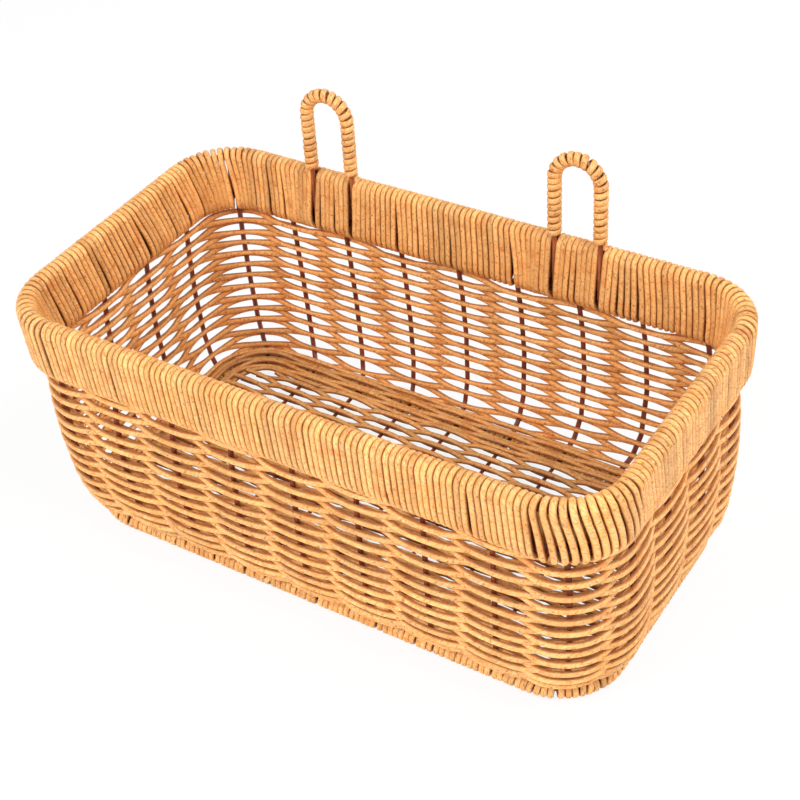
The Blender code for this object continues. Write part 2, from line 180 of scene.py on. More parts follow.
STAKE_SHARES = (FIRST_STAKE_PLACE / outline_length(0.0, RIM_CORNER_RADIUS)
                + np.arange(STAKE_COUNT) / STAKE_COUNT)
PACKED_RADIUS = RIM_CORNER_RADIUS - PACKED_INSET
PACKED_LENGTH = outline_length(PACKED_INSET, PACKED_RADIUS)


def rest_of_turn(share):
    """A share's distance from the nearest whole turn, between minus and plus a half."""
    return (share + 0.5) % 1.0 - 0.5


def smooth_step(value, low, high):
    """Rises from 0 to 1 between two values, with flat ends."""
    part = np.clip((value - low) / (high - low), 0.0, 1.0)
    return part * part * (3 - 2 * part)


def eased(table, share):
    """Reads a table of (share, millimetres) with soft changes between its rows, in metres."""
    share = np.asarray(share, float) % 1.0
    shares = np.array([row[0] for row in table])
    values = np.array([row[1] for row in table])
    row = np.clip(np.searchsorted(shares, share, side="right") - 1, 0, len(table) - 2)
    part = smooth_step(share, shares[row], shares[row + 1])
    return (values[row] + (values[row + 1] - values[row]) * part) * MM


def wander(count, reach, seed, keep=0.0):
    """Random values, one for each item, that may follow the value before by a share."""
    furthest = 2.2
    chance = np.random.default_rng(seed)
    steps = chance.normal(0.0, 1.0, count)
    values = np.zeros(count)
    for index in range(count):
        before = values[index - 1] if index else 0.0
        values[index] = keep * before + math.sqrt(1 - keep * keep) * steps[index]
    return np.clip(values, -furthest, furthest) * reach


def woven(place):
    """A strand's way round the stakes or ribs, counted in them: it stays outside most of the way."""
    squareness = 1.15
    return np.tanh(squareness * np.cos(math.pi * place)) / math.tanh(squareness)


def spread(values, place):
    """Reads values, one for each stake, at places counted in stakes."""
    knots = np.arange(len(values) + 1)
    return np.interp(place, knots, np.append(values, values[0]))


class Strands:
    """Collects tubes of cord into one mesh with its cord coordinates, tones and UV strips."""

    def __init__(self, name, sides, half_sizes):
        self.name = name
        self.sides = sides
        self.wide, self.thick = half_sizes
        self.angles = 2 * math.pi * (np.arange(sides) + 0.5) / sides
        self.points, self.quads, self.lengths, self.tones, self.caps = [], [], [], [], []
        self.count = 0

    def profile(self):
        """Across and through the cord: an ellipse that is pressed a little square."""
        squareness = 0.92
        across = np.sin(self.angles)
        through = np.cos(self.angles)
        return (np.sign(across) * np.abs(across) ** squareness * self.wide,
                np.sign(through) * np.abs(through) ** squareness * self.thick)

    def add(self, line, outward, closed, tone=0.0, start=0.0, fullness=1.0):
        """Adds one strand along a centre line, with the direction of its outer side."""
        if closed:
            before, after = np.roll(line, 1, axis=0), np.roll(line, -1, axis=0)
        else:
            before = np.concatenate([line[:1], line[:-1]])
            after = np.concatenate([line[1:], line[-1:]])
        ahead = unit(after - before)
        out = unit(outward - ahead * np.sum(outward * ahead, axis=1, keepdims=True))
        side = np.cross(ahead, out)
        across, through = self.profile()
        swelling, likeness = 0.018, 0.8
        seed = len(line) + int(start * 1000) % STRAND_SEEDS
        swell = fullness * (1.0 + wander(len(line), swelling, seed, likeness))
        ring = (out[:, None, :] * through[None, :, None] + side[:, None, :] * across[None, :, None])
        ring = line[:, None, :] + ring * swell[:, None, None]
        travelled = np.concatenate([[0.0], np.cumsum(np.linalg.norm(np.diff(line, axis=0), axis=1))])
        closing = float(np.linalg.norm(line[0] - line[-1])) if closed else 0.0
        rows = len(line) if closed else len(line) - 1
        index = np.arange(rows)
        here = self.count + index[:, None] * self.sides
        following = self.count + ((index + 1) % len(line))[:, None] * self.sides
        corner = np.arange(self.sides)
        turned = (corner + 1) % self.sides
        quad = np.stack([here + corner, following + corner, following + turned, here + turned], axis=2)
        ends = np.append(travelled, travelled[-1] + closing)
        self.points.append(ring.reshape(-1, 3))
        self.quads.append(quad.reshape(-1, 4))
        self.lengths.append(np.stack([ends[index], ends[index + 1]], axis=1) + start)
        tones = np.broadcast_to(np.asarray(tone, float), (len(line),))
        self.tones.append(np.repeat(tones, self.sides))
        if not closed:
            last = self.count + (len(line) - 1) * self.sides
            self.caps.append((self.count + corner)[::-1].copy())
            self.caps.append(last + corner)
        self.count += len(line) * self.sides

    def finish(self, material, slot_name, *nodes):
        """Makes the object, rides it on the frame and lets it stand for frame nodes."""
        points = np.concatenate(self.points)
        quads = np.concatenate(self.quads)
        caps = np.array(self.caps, dtype=int).reshape(-1, self.sides)
        loops = np.concatenate([quads.ravel(), caps.ravel()])
        starts = np.concatenate([np.arange(len(quads)) * 4,
                                 len(quads) * 4 + np.arange(len(caps)) * self.sides])
        totals = np.concatenate([np.full(len(quads), 4), np.full(len(caps), self.sides)])
        mesh = bpy.data.meshes.new(self.name)
        mesh.vertices.add(len(points))
        mesh.vertices.foreach_set("co", points.astype(np.float32).ravel())
        mesh.loops.add(len(loops))
        mesh.loops.foreach_set("vertex_index", loops.astype(np.int32))
        mesh.polygons.add(len(starts))
        mesh.polygons.foreach_set("loop_start", starts.astype(np.int32))
        mesh.polygons.foreach_set("loop_total", totals.astype(np.int32))
        mesh.polygons.foreach_set("use_smooth", np.ones(len(starts), dtype=bool))
        mesh.update(calc_edges=True)
        self.add_cord_coordinates(mesh, len(caps))
        self.add_strip_map(mesh, len(caps))
        tone = mesh.attributes.new("tone", "FLOAT", "POINT")
        tone.data.foreach_set("value", np.concatenate(self.tones).astype(np.float32))
        mesh.validate()
        mesh.materials.append(material)
        item = bpy.data.objects.new(self.name, mesh)
        bpy.context.scene.collection.objects.link(item)
        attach(item, "root")
        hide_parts(*nodes)
        return item

    def add_cord_coordinates(self, mesh, cap_count):
        """Writes, for every face corner, the way along the cord and the place round it."""
        lengths = np.concatenate(self.lengths)
        following = np.roll(self.angles, -1)
        corners = ((0, self.angles), (1, self.angles), (1, following), (0, following))
        values = np.zeros((len(lengths), self.sides, 4, 3))
        for corner, (end, angle) in enumerate(corners):
            values[:, :, corner, 0] = lengths[:, end][:, None]
            values[:, :, corner, 1] = (np.cos(angle) * self.wide)[None, :]
            values[:, :, corner, 2] = (np.sin(angle) * self.wide)[None, :]
        ends = np.zeros((cap_count, self.sides, 3))
        ends[:, :, 1] = np.cos(self.angles) * self.wide
        ends[:, :, 2] = np.sin(self.angles) * self.wide
        flat = np.concatenate([values.reshape(-1, 3), ends.reshape(-1, 3)])
        straight = mesh.attributes.new("straight", "FLOAT_VECTOR", "CORNER")
        straight.data.foreach_set("vector", flat.astype(np.float32).ravel())

    def add_strip_map(self, mesh, cap_count):
        """Lays the strands out as side-by-side strips, so that no two faces share a place."""
        lengths = np.concatenate(self.lengths)
        rows = len(lengths)
        whole = float(np.sum(lengths[:, 1] - lengths[:, 0]))
        strips = max(1, round(math.sqrt(whole / (2 * math.pi * self.wide))))
        rows_each = math.ceil(rows / strips)
        index = np.arange(rows)
        strip, row = index // rows_each, index % rows_each
        side = np.arange(self.sides)
        margin, used, top = 0.04, 0.92, 0.975
        u_low = (strip[:, None] + margin + used * side[None, :] / self.sides) / strips
        u_high = (strip[:, None] + margin + used * (side[None, :] + 1) / self.sides) / strips
        v_low = np.broadcast_to((row / rows_each * top)[:, None], u_low.shape)
        v_high = np.broadcast_to(((row + 1) / rows_each * top)[:, None], u_low.shape)
        corners = np.stack([np.stack([u_low, v_low], axis=2), np.stack([u_low, v_high], axis=2),
                            np.stack([u_high, v_high], axis=2), np.stack([u_high, v_low], axis=2)], axis=2)
        flat = corners.reshape(-1, 2)
        if cap_count:
            cap_line, cap_height = 0.988, 0.008
            angles = 2 * math.pi * side / self.sides
            reach = min(0.4 / cap_count, cap_height)
            centre = (np.arange(cap_count) + 0.5) / cap_count
            u = centre[:, None] + reach * np.cos(angles)[None, :]
            v = np.broadcast_to(cap_line + cap_height * np.sin(angles)[None, :], u.shape)
            flat = np.concatenate([flat, np.stack([u, v], axis=2).reshape(-1, 2)])
        layer = mesh.uv_layers.new(name="OFBake")
        layer.data.foreach_set("uv", flat.astype(np.float32).ravel())


class Nodes:
    """Small helper that adds shader nodes and links them."""

    def __init__(self, name):
        self.material = bpy.data.materials.new(name)
        self.material.use_nodes = True
        self.tree = self.material.node_tree
        self.shader = self.tree.nodes["Principled BSDF"]

    def add(self, kind, inputs=None, **settings):
        """Adds a node, sets its settings, and links or sets its inputs."""
        node = self.tree.nodes.new(kind)
        for key, value in settings.items():
            setattr(node, key, value)
        for key, value in (inputs or {}).items():
            self.put(node.inputs[key], value)
        return node

    def put(self, socket, value):
        """Links a socket to another one, or sets its value."""
        if isinstance(value, bpy.types.NodeSocket):
            self.tree.links.new(value, socket)
        else:
            socket.default_value = value

    def maths(self, operation, first, second=0.0):
        """A math node's result."""
        node = self.add("ShaderNodeMath", operation=operation)
        self.put(node.inputs[0], first)
        self.put(node.inputs[1], second)
        return node.outputs[0]

    def noise(self, vector, scale, detail=3.0, roughness=0.55):
        """A noise texture's value."""
        node = self.add("ShaderNodeTexNoise", {"Vector": vector, "Scale": scale, "Detail": detail,
                                               "Roughness": roughness})
        return node.outputs["Fac"]

    def ramp(self, value, low, high, low_result=0.0, high_result=1.0):
        """A smooth change between two values."""
        node = self.add("ShaderNodeMapRange", {"Value": value, "From Min": low, "From Max": high,
                                               "To Min": low_result, "To Max": high_result},
                        interpolation_type="SMOOTHSTEP")
        return node.outputs[0]

    def mix(self, share, first, second, blend="MIX"):
        """A colour mix's result."""
        node = self.add("ShaderNodeMix", data_type="RGBA", blend_type=blend)
        factor = 0
        first_colour = 6
        second_colour = 7
        self.put(node.inputs[factor], share)
        self.put(node.inputs[first_colour], first)
        self.put(node.inputs[second_colour], second)
        return node.outputs[2]

    def vector(self, x, y, z):
        """A vector made of three values."""
        return self.add("ShaderNodeCombineXYZ", {"X": x, "Y": y, "Z": z}).outputs[0]


def colour(red, green, blue):
    """A colour given as it looks on a screen, from 0 to 255, as linear values."""
    linear = []
    for value in (red, green, blue):
        part = value / 255
        linear.append(part / 12.92 if part <= 0.04045 else ((part + 0.055) / 1.055) ** 2.4)
    return (*linear, 1.0)


HONEY = colour(238, 160, 78)
PALE_HONEY = colour(252, 205, 138)
DEEP_HONEY = colour(206, 106, 30)
# The cord's own flecks, and painted shade in the twist's creases
FLECK_AND_CREASE_SHADE_BROWN = colour(140, 58, 8)
# Painted shade, laid on the cord's sides where it meets the turns or rows beside it
SIDE_SHADE_BROWN = colour(136, 58, 8)
FRAME_PAINT = (colour(106, 44, 26), colour(136, 66, 40))
LOOP_PAINT = (colour(150, 78, 44), colour(184, 106, 64))
WORN_PAINT = colour(168, 98, 58)


def cord_places(nodes):
    """Places in the cord's twist and in its body, and the angle round it."""
    straight = nodes.add("ShaderNodeAttribute", attribute_name="straight")
    split = nodes.add("ShaderNodeSeparateXYZ", {"Vector": straight.outputs["Vector"]})
    along, out, side = split.outputs
    round_angle = nodes.maths("ARCTAN2", side, out)
    twists_per_metre, fibre_stretch, fibre_radius = 520.0, 260.0, 1.7
    twisted = nodes.maths("ADD", round_angle, nodes.maths("MULTIPLY", along, twists_per_metre))
    turned = nodes.vector(nodes.maths("MULTIPLY", along, fibre_stretch),
                          nodes.maths("MULTIPLY", nodes.maths("COSINE", twisted), fibre_radius),
                          nodes.maths("MULTIPLY", nodes.maths("SINE", twisted), fibre_radius))
    flecks_along, flecks_across = 700.0, 900.0
    body = nodes.vector(nodes.maths("MULTIPLY", along, flecks_along),
                        nodes.maths("MULTIPLY", out, flecks_across),
                        nodes.maths("MULTIPLY", side, flecks_across))
    return turned, body, round_angle


def cord_material(name, side_shade_start, side_shade_depth):
    """Twisted paper cord: fine fibres along the twist, flecks and tone by turn, with painted shade on its
    sides where turns meet and in the twist's creases.
    """
    nodes = Nodes(name)
    turned, body, round_angle = cord_places(nodes)
    # Besides random tone by turn and row, the tone attribute carries painted light at the back of the wall
    # and painted shade on the floor
    tone = nodes.add("ShaderNodeAttribute", attribute_name="tone").outputs["Fac"]
    fibres = nodes.noise(turned, 1.9, 4.0, 0.6)
    creases = nodes.noise(turned, 4.5, 3.0, 0.65)
    flecks = nodes.noise(body, 1.0, 2.0, 0.5)
    place = nodes.add("ShaderNodeTexCoord").outputs["Object"]
    broad = nodes.noise(place, 38.0, 3.0, 0.5)
    blotches = nodes.noise(place, 140.0, 2.0, 0.5)
    shade = nodes.mix(nodes.ramp(fibres, 0.34, 0.64), HONEY, PALE_HONEY)
    shade = nodes.mix(nodes.ramp(blotches, 0.50, 0.74, 0.0, 0.42), shade, DEEP_HONEY)
    shade = nodes.mix(nodes.ramp(broad, 0.42, 0.66, 0.0, 0.30), shade, HONEY)
    shade = nodes.mix(nodes.ramp(flecks, 0.56, 0.70, 0.0, 0.58), shade, FLECK_AND_CREASE_SHADE_BROWN)
    # Painted shade: the twist's creases are darkened with the fleck brown
    shade = nodes.mix(nodes.ramp(creases, 0.54, 0.70, 0.0, 0.40), shade, FLECK_AND_CREASE_SHADE_BROWN)
    # Painted shade: the cord's sides, towards the turns or rows beside it, are darkened towards a brown
    edge = nodes.maths("ABSOLUTE", nodes.maths("SINE", round_angle))
    painted_side_shade = nodes.ramp(edge, side_shade_start, 1.0, 0.0, side_shade_depth)
    shade = nodes.mix(painted_side_shade, shade, SIDE_SHADE_BROWN)
    level = nodes.maths("ADD", 1.0, nodes.maths("MULTIPLY", tone, TONE_STEP))
    grey = nodes.add("ShaderNodeCombineColor", {"Red": level, "Green": level, "Blue": level}).outputs[0]
    nodes.put(nodes.shader.inputs["Base Color"], nodes.mix(1.0, shade, grey, "MULTIPLY"))
    nodes.put(nodes.shader.inputs["Roughness"], nodes.ramp(fibres, 0.3, 0.7, 0.42, 0.60))
    nodes.shader.inputs["Specular IOR Level"].default_value = 0.34
    height = nodes.maths("ADD", nodes.maths("MULTIPLY", fibres, 0.6), nodes.maths("MULTIPLY", creases, 0.5))
    bump = nodes.add("ShaderNodeBump", {"Height": height, "Distance": 0.35 * MM, "Strength": 0.8})
    nodes.put(nodes.shader.inputs["Normal"], bump.outputs[0])
    return nodes.material


def wire_material(name, dark, light):
    """Paint on wire in two tones, with worn lighter spots and fine ripples."""
    nodes = Nodes(name)
    place = nodes.add("ShaderNodeTexCoord").outputs["Object"]
    fine = nodes.noise(place, 900.0, 3.0, 0.6)
    broad = nodes.noise(place, 120.0, 2.0, 0.5)
    shade = nodes.mix(nodes.ramp(broad, 0.35, 0.65), dark, light)
    shade = nodes.mix(nodes.ramp(fine, 0.58, 0.70, 0.0, 0.5), shade, WORN_PAINT)
    nodes.put(nodes.shader.inputs["Base Color"], shade)
    nodes.put(nodes.shader.inputs["Roughness"], nodes.ramp(fine, 0.3, 0.7, 0.36, 0.52))
    bump = nodes.add("ShaderNodeBump", {"Height": fine, "Distance": 0.1 * MM, "Strength": 0.5})
    nodes.put(nodes.shader.inputs["Normal"], bump.outputs[0])
    return nodes.material


# How far the band's turns lean, in millimetres at shares of the way round, towards a larger share:
# from the crest to the lower edge outside, the same inside, and over the crest from inside to outside
OUTER_LEANS = ((0.00, -0.5), (0.19, -1.5), (0.26, -2.6), (0.312, -5.2), (0.340, -3.8), (0.362, -1.0),
               (0.395, 0.2), (0.44, 0.5), (0.62, 0.3), (0.67, -0.6), (0.72, -0.5), (1.00, -0.5))
INNER_LEANS = ((0.00, 2.5), (0.035, 3.8), (0.08, 2.8), (0.13, 3.6), (0.165, 5.0), (0.21, 3.0), (0.50, 1.0),
               (0.69, 2.0), (0.73, 2.0), (0.77, 4.6), (0.80, 3.6), (0.84, 3.0), (0.91, 3.0), (0.955, 1.5),
               (1.00, 2.5))
CREST_LEANS = ((0.00, 0.4), (0.14, 0.6), (0.20, 2.6), (0.25, 3.6), (0.30, 3.0), (0.335, 1.0), (0.37, 0.2),
               (0.64, 0.2), (0.70, 1.4), (0.80, 1.4), (0.86, 0.4), (1.00, 0.4))
# Half gaps in millimetres between turns where a stake leaves the band inside, by stake
STAKE_GAPS = (0.55, 0.85, 0.35, 0.40, 0.65, 0.75, 0.40, 0.55, 0.30, 0.50, 0.45, 0.35, 0.60,
              0.40, 0.50, 0.35, 0.55, 0.45, 0.70, 0.60, 0.85, 0.80, 1.00, 0.70, 0.70, 0.90)
# Share of the way round and half gap in millimetres of other slits, outside and inside
OUTER_SLITS = ((0.02, 0.4), (0.09, 0.5), (0.16, 0.5), (0.215, 0.5), (0.268, 0.4), (0.3235, 0.22),
               (0.337, 0.30), (0.3555, 0.35), (0.386, 0.65), (0.43, 0.25), (0.505, 0.35),
               (0.545, 0.25), (0.60, 0.30), (0.645, 0.45), (0.72, 0.4), (0.79, 0.5), (0.88, 0.4))
INNER_SLITS = ((0.05, 0.30), (0.0724, 0.45), (0.095, 0.35), (0.172, 0.55), (0.24, 0.4), (0.38, 0.5),
               (0.46, 0.4), (0.58, 0.5), (0.70, 0.45), (0.785, 0.45), (0.812, 0.55), (0.866, 0.55),
               (0.905, 0.65), (0.97, 0.35))


# Steps of one turn over a shoulder, down or up a face and round the lower wire
SHOULDER_STEPS, FACE_STEPS, LOWER_STEPS = 4, 8, 8
# The steps at which these stretches of a turn end, from the crest down outside and up inside
OUTER_SHOULDER = SHOULDER_STEPS
OUTER_LOW = OUTER_SHOULDER + FACE_STEPS
INNER_LOW = OUTER_LOW + LOWER_STEPS
INNER_SHOULDER = INNER_LOW + FACE_STEPS
SECTION_STEPS = INNER_SHOULDER + SHOULDER_STEPS


def band_section():
    """Outward and upward places round one turn, from the crest down outside and up inside."""
    outs, ups = [], []
    low_outside = LOW_CENTRE_OUT + LOW_RADIUS
    low_inside = LOW_CENTRE_OUT - LOW_RADIUS
    for step in range(SHOULDER_STEPS):
        angle = math.pi / 2 * (1 - step / SHOULDER_STEPS)
        outs.append(TOP_RADIUS * math.cos(angle))
        ups.append(TOP_RADIUS * math.sin(angle))
    for step in range(FACE_STEPS):
        outs.append(TOP_RADIUS + (low_outside - TOP_RADIUS) * step / FACE_STEPS)
        ups.append(-BAND_DEPTH * step / FACE_STEPS)
    for step in range(LOWER_STEPS):
        angle = -math.pi * step / LOWER_STEPS
        outs.append(LOW_CENTRE_OUT + LOW_RADIUS * math.cos(angle))
        ups.append(-BAND_DEPTH + LOW_RADIUS * math.sin(angle))
    for step in range(FACE_STEPS):
        outs.append(low_inside + (-TOP_RADIUS - low_inside) * step / FACE_STEPS)
        ups.append(-BAND_DEPTH * (1 - step / FACE_STEPS))
    for step in range(SHOULDER_STEPS):
        angle = math.pi - math.pi / 2 * step / SHOULDER_STEPS
        outs.append(TOP_RADIUS * math.cos(angle))
        ups.append(TOP_RADIUS * math.sin(angle))
    return np.array(outs), np.array(ups)


def section_normals(outs, ups):
    """Outward direction at each point of the band's section."""
    ahead_out = np.roll(outs, -1) - np.roll(outs, 1)
    ahead_up = np.roll(ups, -1) - np.roll(ups, 1)
    size = np.hypot(ahead_out, ahead_up)
    return -ahead_up / size, ahead_out / size


def parted(share, centres, half_gaps, decay):
    """Sideways shift of turns at their shares, that opens gaps at the centres."""
    shift = np.zeros_like(share)
    for centre, gap in zip(centres, half_gaps):
        away = rest_of_turn(share - centre) * PACKED_LENGTH
        shift += np.where(away >= 0, 1.0, -1.0) * gap * np.exp(-np.abs(away) / decay)
    return shift


def turn_leans(share, step):
    """Sideways shift of the band's turns that makes them lean."""
    down_outside = smooth_step(step, 0, OUTER_LOW)
    outside = np.where(step <= OUTER_LOW, down_outside, 1 - smooth_step(step, OUTER_LOW, INNER_LOW))
    up_inside = smooth_step(SECTION_STEPS - step, 0, SECTION_STEPS - INNER_LOW)
    inside = np.where(step >= INNER_LOW, up_inside, smooth_step(step, OUTER_LOW, INNER_LOW))
    from_crest = np.where(step < SECTION_STEPS / 2, step, step - SECTION_STEPS)
    over_crest = np.clip(from_crest / OUTER_SHOULDER, -1.0, 1.0) / 2
    fading = 1 - smooth_step(np.abs(from_crest), OUTER_SHOULDER, OUTER_LOW)
    return (eased(OUTER_LEANS, share) * outside + eased(INNER_LEANS, share) * inside
            + eased(CREST_LEANS, share) * over_crest * fading)


def turn_gaps(share, step):
    """Sideways shift of the band's turns where they part round stakes and loops, and in slits."""
    decay = 9.0 * MM
    inside = smooth_step(INNER_SHOULDER + 2 - step, 0.0, 9.0)
    inside = inside * smooth_step(step, OUTER_LOW - 1, OUTER_LOW + 5)
    outside = smooth_step(step, 1.0, 9.0) * smooth_step(INNER_LOW - 3 - step, 0.0, 6.0)
    stakes = STAKE_SHARES - eased(INNER_LEANS, STAKE_SHARES) / PACKED_LENGTH
    shift = parted(share, stakes, np.array(STAKE_GAPS) * MM, decay) * inside
    for table, reach in ((INNER_SLITS, inside), (OUTER_SLITS, outside)):
        places = [row[0] for row in table]
        gaps = [row[1] * MM for row in table]
        shift += parted(share, places, gaps, decay) * reach
    leg_gap = 1.45 * MM
    legs = [(middle + side * LOOP_HALF_WIDTH) / PACKED_LENGTH
            for middle in LOOP_MIDDLES for side in (-1, 1)]
    at_leg = np.where(step >= SECTION_STEPS / 2, smooth_step(step, OUTER_LOW + 4, INNER_LOW + 1), 0.0)
    at_leg = np.maximum(at_leg, 1 - smooth_step(step, 0.0, 2.5))
    return shift + parted(share, legs, [leg_gap] * len(legs), decay) * at_leg


def upright_at_legs(share):
    """How much of its lean a turn keeps: none beside the loops' legs."""
    keep = np.ones_like(share)
    upright, leaning = LOOP_HALF_WIDTH + 2 * MM, LOOP_HALF_WIDTH + 24 * MM
    for middle in LOOP_MIDDLES:
        away = np.abs(rest_of_turn(share - middle / PACKED_LENGTH)) * PACKED_LENGTH
        keep *= smooth_step(away, upright, leaning)
    return keep


def hand_wound(turn, part):
    """Random shift, lift and tone of the rim's turns: no two lie quite alike."""
    jitter = wander(RIM_TURNS + 1, 0.05 * MM, RIM_JITTER_SEED)
    bend = wander(RIM_TURNS + 1, 0.08 * MM, RIM_BEND_SEED)
    lift = wander(RIM_TURNS + 1, 0.07 * MM, RIM_LIFT_SEED)
    tones = wander(RIM_TURNS + 1, 1.0, RIM_TONE_SEED)
    blend = smooth_step(part, 0.0, 1.0)
    shift = jitter[turn] * (1 - blend) + jitter[turn + 1] * blend
    shift += bend[turn] * np.sin(2 * math.pi * part)
    raised = lift[turn] * (1 - blend) + lift[turn + 1] * blend
    tone = tones[turn] * (1 - blend) + tones[turn + 1] * blend
    return shift, raised, tone


def build_rim_winding(material):
    """One cord wound all the way round both rim wires, in turns that lean and part."""
    outs, ups = band_section()
    index = np.arange(RIM_TURNS * SECTION_STEPS)
    turn, step = index // SECTION_STEPS, index % SECTION_STEPS
    # The cord moves on by a turn round the lower edge, against the share's direction
    advance = smooth_step(step, OUTER_LOW - 2.0, INNER_LOW + 1.5)
    share = -(turn + advance) / RIM_TURNS
    shift = turn_leans(share, step) * upright_at_legs(share) + turn_gaps(share, step)
    wound_shift, raised, tone = hand_wound(turn, step / SECTION_STEPS)
    shift += wound_shift
    points, normals = outline(PACKED_INSET, PACKED_RADIUS, share + shift / PACKED_LENGTH)
    away_out, away_up = section_normals(outs, ups)
    away_out, away_up = away_out[step], away_up[step]
    line = points + normals * (PACKED_INSET + outs[step] + raised * away_out)[:, None]
    line[:, 2] = RIM_HEIGHT + ups[step] + raised * away_up
    outward = normals * away_out[:, None]
    outward[:, 2] = away_up
    # The turns lie looser and fuller round the front right corner
    away = rest_of_turn(share - FAN_MIDDLE) / FAN_REACH
    rim = Strands("rim_turns", 8, RIM_CORD)
    rim.add(line, outward, True, tone, fullness=1.0 + FAN_SWELL * np.exp(-away * away))
    return rim.finish(material, "woven_cord", "rim_winding")


def wall_inset(height):
    """Inset of the stakes' centre line at a height, rounded at its bends."""
    heights = [level[1] for level in STAKE_LEVELS]
    insets = [level[0] for level in STAKE_LEVELS]
    rounding = np.array([[-4.0], [-2.0], [0.0], [2.0], [4.0]]) * MM
    near = height + rounding
    return np.mean(np.interp(near, heights, insets), axis=0)


def wall_row_heights():
    """Heights of the wall's rows, evenly spaced along the stakes' bent line."""
    fine_steps = 400
    heights = np.linspace(WALL_LOWEST, WALL_HIGHEST, fine_steps)
    steps = np.hypot(np.diff(heights), np.diff(wall_inset(heights)))
    travelled = np.concatenate([[0.0], np.cumsum(steps)])
    return np.interp(np.linspace(0.0, travelled[-1], WALL_ROWS), travelled, heights)


def build_wall_weave(material):
    """Rows of cord that pass outside one stake and inside the next."""
    wall = Strands("wall_rows", 8, WALL_CORD)
    place = np.arange(STAKE_COUNT * WALL_POINTS_PER_STAKE) / WALL_POINTS_PER_STAKE
    share = STAKE_SHARES[0] + place / STAKE_COUNT
    row_sag, slow_sag, slow_waves, row_depth, row_start = 0.22 * MM, 0.25 * MM, 3, 0.12 * MM, 1.37
    for row, level in enumerate(wall_row_heights()):
        wave = woven(place + row)
        sag = wander(STAKE_COUNT, row_sag, WALL_SAG_SEED + row, 0.3)
        height = level + spread(sag, place)
        height = height + slow_sag * np.sin(2 * slow_waves * math.pi * place / STAKE_COUNT + row)
        depth = spread(wander(STAKE_COUNT, row_depth, WALL_DEPTH_SEED + row), place)
        inset = wall_inset(height)
        points, normals = outline(inset, corner_radius(inset, height), share)
        toward_back = 0.5 + 0.5 * points[:, 1] / RIM_HALF_WIDTH
        pressed = PRESSED_FRONT + (PRESSED_BACK - PRESSED_FRONT) * toward_back
        fullness = pressed + (RELAXED - pressed) * (1 - wave * wave)
        reach = STAKE_FACE + WALL_CORD[1] * pressed
        line = points + normals * (wave * (reach + depth))[:, None]
        line[:, 2] = height
        tone = spread(wander(STAKE_COUNT, 0.8, WALL_TONE_SEED + row, 0.5), place)
        # Painted light: the wall's colour is made brighter towards the back
        tone = tone + PAINTED_LIGHT_AT_BACK * toward_back
        wall.add(line, normals, True, tone, start=row * row_start, fullness=fullness)
    return wall.finish(material, "woven_cord", "wall_weave")


def build_base_winding(material):
    """The cord wound round the base ring."""
    per_turn = 14
    index = np.arange(BASE_TURNS * per_turn)
    turn, step = index // per_turn, index % per_turn
    part = step / per_turn
    angle = 2 * math.pi * part
    length = outline_length(BASE_INSET, BASE_CORNER_RADIUS)
    share = -(turn + part) / BASE_TURNS
    chance = np.random.default_rng(BASE_GAP_SEED)
    decay, other_gaps = 6.0 * MM, 18
    shift = parted(share, STAKE_SHARES, chance.uniform(0.2, 0.9, STAKE_COUNT) * MM, decay)
    places = chance.uniform(0.0, 1.0, other_gaps)
    shift += parted(share, places, chance.uniform(0.2, 0.7, other_gaps) * MM, decay)
    jitter = wander(BASE_TURNS + 1, 0.14 * MM, BASE_JITTER_SEED)
    shift += jitter[turn] * (1 - part) + jitter[turn + 1] * part
    shift += wander(BASE_TURNS, 0.35 * MM, BASE_SLANT_SEED)[turn] * np.sin(angle)
    points, normals = outline(BASE_INSET, BASE_CORNER_RADIUS, share + shift / length)
    reach = BASE_WINDING_RADIUS + wander(BASE_TURNS, 0.06 * MM, BASE_REACH_SEED)[turn]
    line = points + normals * (reach * np.cos(angle))[:, None]
    lowest = BASE_CORD[1] + 0.05 * MM
    line[:, 2] = np.maximum(BASE_HEIGHT + reach * np.sin(angle), lowest)
    outward = normals * np.cos(angle)[:, None]
    outward[:, 2] = np.sin(angle)
    tones = wander(BASE_TURNS + 1, 1.0, BASE_TONE_SEED)
    base = Strands("base_turns", 8, BASE_CORD)
    base.add(line, outward, True, tones[turn] * (1 - part) + tones[turn + 1] * part)
    return base.finish(material, "woven_cord", "base_winding")


def floor_row_places():
    """The floor rows' places across the basket, from the back edge to the front one."""
    edge = RIM_HALF_WIDTH - FLOOR_EDGE_INSET
    loosening_from, loosening_to = 20 * MM, 40 * MM
    places = [edge]
    while True:
        looser = float(smooth_step(places[-1], loosening_from, loosening_to))
        following = places[-1] - FLOOR_PITCH - (FLOOR_BACK_PITCH - FLOOR_PITCH) * looser
        if following < -edge:
            return places
        places.append(following)


def add_floor_rows(floor):
    """Rows of cord along the floor that pass over one rib and under the next."""
    half_length = RIM_HALF_LENGTH - FLOOR_END_INSET
    half_width = RIM_HALF_WIDTH - FLOOR_EDGE_INSET
    radius = BASE_CORNER_RADIUS + BASE_INSET - FLOOR_END_INSET
    reach = STAKE_RADIUS + FLOOR_CORD[1] - 0.2 * MM
    pieces, point_gap, fewest_points, row_start = 12, 3.0 * MM, 8, 0.91
    for row, y in enumerate(floor_row_places()):
        into_corner = min(max(abs(y) - (half_width - radius), 0.0), radius)
        end = half_length - (radius - math.sqrt(radius * radius - into_corner * into_corner))
        x = np.linspace(-end, end, max(int(2 * end / point_gap), fewest_points))
        along = np.linspace(-half_length, half_length, pieces)
        sway = np.interp(x, along, wander(pieces, 0.20 * MM, FLOOR_SWAY_SEED + row, 0.3))
        wave = woven((x - MIDDLE_RIB_PLACE) / RIB_GAP + row)
        line = np.stack([x, y + sway, RIB_HEIGHT + wave * reach], axis=1)
        # The floor's painted shade darkens these rows
        tone = np.interp(x, along, wander(pieces, 0.8, FLOOR_TONE_SEED + row, 0.4)) + FLOOR_PAINTED_SHADE
        up = np.tile([0.0, 0.0, 1.0], (len(x), 1))
        floor.add(line, up, False, tone, start=row * row_start)


